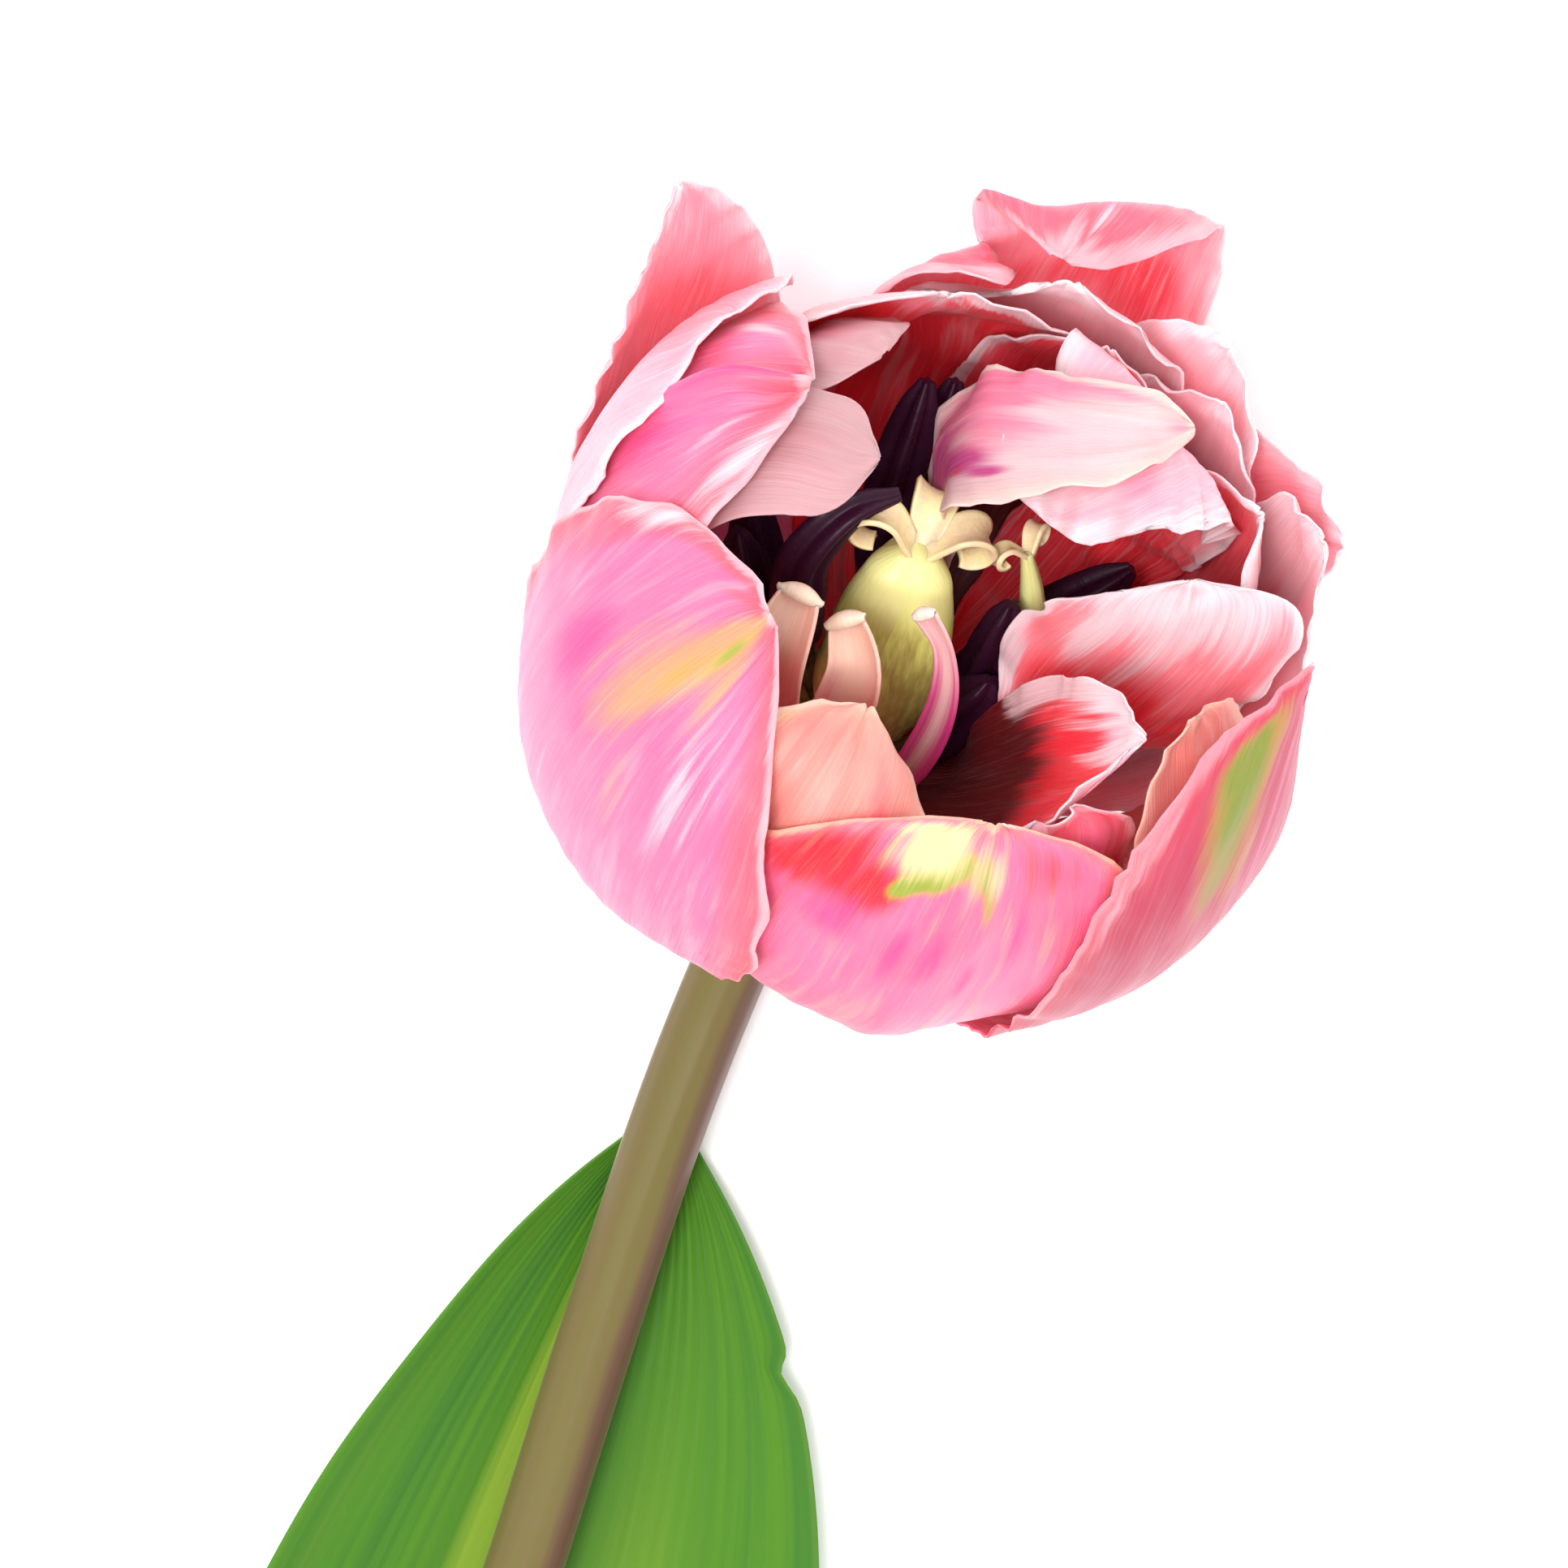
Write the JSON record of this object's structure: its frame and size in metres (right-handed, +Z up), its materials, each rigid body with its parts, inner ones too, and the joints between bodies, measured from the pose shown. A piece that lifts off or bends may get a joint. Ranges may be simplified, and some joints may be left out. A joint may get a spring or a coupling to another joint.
{
  "type": "double tulip",
  "caption": "Single cut double tulip lying on a surface: cupped layered petals round a pistil and dark anthers, round stem bent up at the neck, one broad leaf.",
  "frame": {"origin": "centre of the bounding box in plan, on the surface the flower lies on", "axes": "+X from the cut end of the stem towards the bloom, +Z up, +Y to the left"},
  "size_m": [0.3376, 0.0882, 0.0818],
  "materials": {
    "petal": "satin pink and coral petal skin with pale margins, soft",
    "petaloid": "satin pale pink to cream with magenta streaks",
    "curl": "satin cream",
    "anther": "velvety dark purple",
    "pistil": "waxy yellow green",
    "stem": "smooth olive brown green",
    "leaf": "satin green with fine lengthwise veins"
  },
  "bodies": {
    "root": {"petal_outer_right": "petal", "petal_outer_left": "petal", "petal_outer_back": "petal", "petal_spike": "petal", "petal_front": "petal", "petal_right": "petal", "petal_back_right": "petal", "petal_left_rim": "petal", "petal_back_rim": "petal", "petal_right_mid": "petal", "petal_right_rim": "petal", "petal_left_fold": "petal", "petal_back_red": "petal", "petal_front_gap": "petal", "petal_front_in": "petal", "petal_front_left_in": "petal", "petal_back_small": "petal", "petal_right_in": "petal", "petal_left_curl": "petal", "petal_white_tip": "petal", "petal_front_right_in": "petal", "petal_partition": "petal", "petal_hood": "petal", "petal_petaloid": "petaloid", "side_carpel": "pistil", "ribbon_petaloid": "petaloid", "curl_left": "curl", "curl_middle": "curl", "stamen_back_left": "anther", "stamen_back": "anther", "stamen_left_high": "anther", "stamen_left_low": "anther", "stamen_left_far": "anther", "stamen_right_high": "anther", "stamen_right_low": "anther", "stamen_front_right": "anther", "stamen_front_low": "anther", "pistil": "pistil", "stem": "stem", "leaf": "leaf"}
  },
  "joints": []
}
